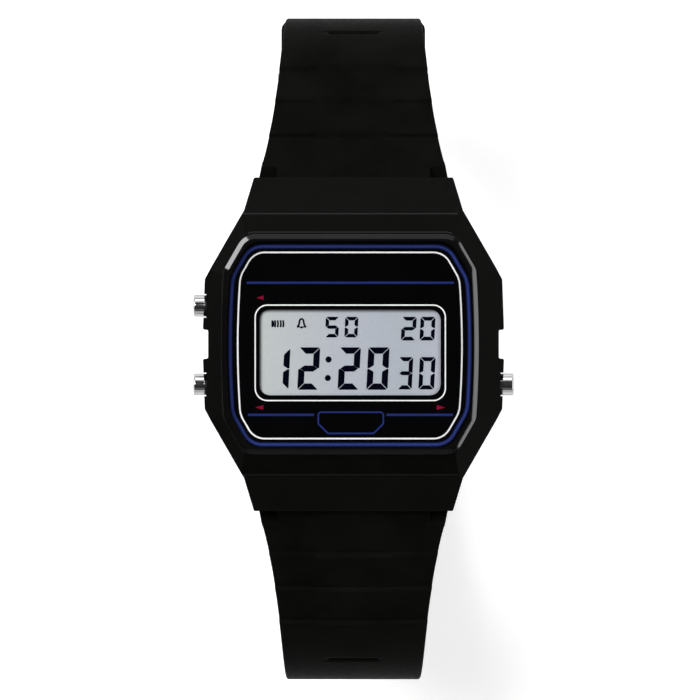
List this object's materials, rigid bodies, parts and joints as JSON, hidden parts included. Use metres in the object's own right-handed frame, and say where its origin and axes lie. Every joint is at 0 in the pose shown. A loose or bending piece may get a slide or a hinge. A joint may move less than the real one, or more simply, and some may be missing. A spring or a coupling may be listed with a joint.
{
  "type": "digital wristwatch",
  "caption": "Slim digital wristwatch with an eight-sided resin case, bare liquid crystal face, push buttons and an unbuckled resin strap with pin buckle and keeper.",
  "frame": {"origin": "middle of the case back's flat outer face", "axes": "+X towards 3 o'clock, +Y towards 12 o'clock, +Z out of the display"},
  "size_m": [0.0366, 0.0792, 0.0695],
  "materials": {
    "case_resin": "satin moulded resin, the bezel polished",
    "strap_resin": "matte moulded resin",
    "crystal": "clear and polished",
    "mask_print": "printed film",
    "lcd_glass": "grey liquid crystal panel",
    "reflector_film": "satin silver film",
    "module_plastic": "moulded",
    "contact_rubber": "striped conductive rubber",
    "board_epoxy": "green glass-fibre board",
    "chip_epoxy": "poured epoxy",
    "lamp_lens": "clear amber",
    "insulator": "thin film",
    "copper_wire": "enamelled wire",
    "contact_brass": "plated sheet",
    "steel": "brushed stainless steel",
    "button_metal": "turned and polished",
    "cell_steel": "nickel-plated can",
    "seal_rubber": "black"
  },
  "bodies": {
    "case": {"case_shell": "case_resin", "crystal": "crystal", "dial_mask": "mask_print", "lcd_panel": "lcd_glass", "lcd_reflector": "reflector_film", "module_frame": "module_plastic", "zebra_strips": "contact_rubber", "circuit_board": "board_epoxy", "chip_cover": "chip_epoxy", "quartz_can": "steel", "trimmer_capacitor": "contact_brass", "booster_coil": "copper_wire", "backlight_led": "lamp_lens", "button_contacts": "contact_brass", "insulator_sheet": "insulator", "coin_cell": "cell_steel", "battery_tray": "module_plastic", "battery_clip": "steel", "buzzer_disc": "contact_brass", "buzzer_spring": "contact_brass", "back_gasket": "seal_rubber", "case_back": "steel", "back_screws": "steel", "upper_bar_tube": "steel", "upper_bar_spring": "steel", "lower_bar_tube": "steel", "lower_bar_spring": "steel", "light_spring": "steel", "mode_spring": "steel", "alarm_spring": "steel"},
    "light_button": {"light_button": "button_metal", "light_seal": "seal_rubber", "light_clip": "steel"},
    "mode_button": {"mode_button": "button_metal", "mode_seal": "seal_rubber", "mode_clip": "steel"},
    "alarm_button": {"alarm_button": "button_metal", "alarm_seal": "seal_rubber", "alarm_clip": "steel"},
    "upper_left_tip": {"upper_bar_left_tip": "steel"},
    "upper_right_tip": {"upper_bar_right_tip": "steel"},
    "lower_left_tip": {"lower_bar_left_tip": "steel"},
    "lower_right_tip": {"lower_bar_right_tip": "steel"},
    "buckle_half": {"buckle_strap": "strap_resin", "buckle_pin": "steel"},
    "buckle": {"buckle_frame": "steel"},
    "tongue": {"buckle_tongue": "steel"},
    "keeper": {"keeper_loop": "strap_resin"},
    "hole_half": {"hole_strap": "strap_resin"}
  },
  "joints": [
    {"name": "light_press", "type": "slide", "parent": "case", "child": "light_button", "axis": [1, 0, 0], "range_m": [0, 0.0007], "stiffness_N_per_m": 1500, "springref_m": -0.0003, "deforming": ["light_spring"]},
    {"name": "mode_press", "type": "slide", "parent": "case", "child": "mode_button", "axis": [1, 0, 0], "range_m": [0, 0.0007], "stiffness_N_per_m": 1500, "springref_m": -0.0003, "deforming": ["mode_spring"]},
    {"name": "alarm_press", "type": "slide", "parent": "case", "child": "alarm_button", "axis": [-1, 0, 0], "range_m": [0, 0.0007], "stiffness_N_per_m": 1500, "springref_m": -0.0003, "deforming": ["alarm_spring"]},
    {"name": "upper_left_tip_retract", "type": "slide", "parent": "case", "child": "upper_left_tip", "axis": [1, 0, 0], "range_m": [0, 0.001], "stiffness_N_per_m": 300, "springref_m": -0.001, "deforming": ["upper_bar_spring"]},
    {"name": "upper_right_tip_retract", "type": "slide", "parent": "case", "child": "upper_right_tip", "axis": [-1, 0, 0], "range_m": [0, 0.001], "stiffness_N_per_m": 300, "springref_m": -0.001, "deforming": ["upper_bar_spring"]},
    {"name": "lower_left_tip_retract", "type": "slide", "parent": "case", "child": "lower_left_tip", "axis": [1, 0, 0], "range_m": [0, 0.001], "stiffness_N_per_m": 300, "springref_m": -0.001, "deforming": ["lower_bar_spring"]},
    {"name": "lower_right_tip_retract", "type": "slide", "parent": "case", "child": "lower_right_tip", "axis": [-1, 0, 0], "range_m": [0, 0.001], "stiffness_N_per_m": 300, "springref_m": -0.001, "deforming": ["lower_bar_spring"]},
    {"name": "buckle_half_hinge", "type": "hinge", "parent": "case", "child": "buckle_half", "pos_m": [0, 0.0164, 0.0026], "axis": [1, 0, 0], "range_deg": [0, 20]},
    {"name": "hole_half_hinge", "type": "hinge", "parent": "case", "child": "hole_half", "pos_m": [0, -0.0164, 0.0026], "axis": [-1, 0, 0], "range_deg": [0, 20]},
    {"name": "buckle_swing", "type": "hinge", "parent": "buckle_half", "child": "buckle", "pos_m": [0, 0.03226, -0.04958], "axis": [-1, 0, 0], "range_deg": [-60, 60]},
    {"name": "tongue_swing", "type": "hinge", "parent": "buckle", "child": "tongue", "pos_m": [0, 0.03226, -0.04958], "axis": [1, 0, 0], "range_deg": [0, 60]},
    {"name": "keeper_slide", "type": "hinge", "parent": "buckle_half", "child": "keeper", "pos_m": [0, -0.02225, -0.0245], "axis": [1, 0, 0], "range_deg": [-1.2, 7]}
  ]
}
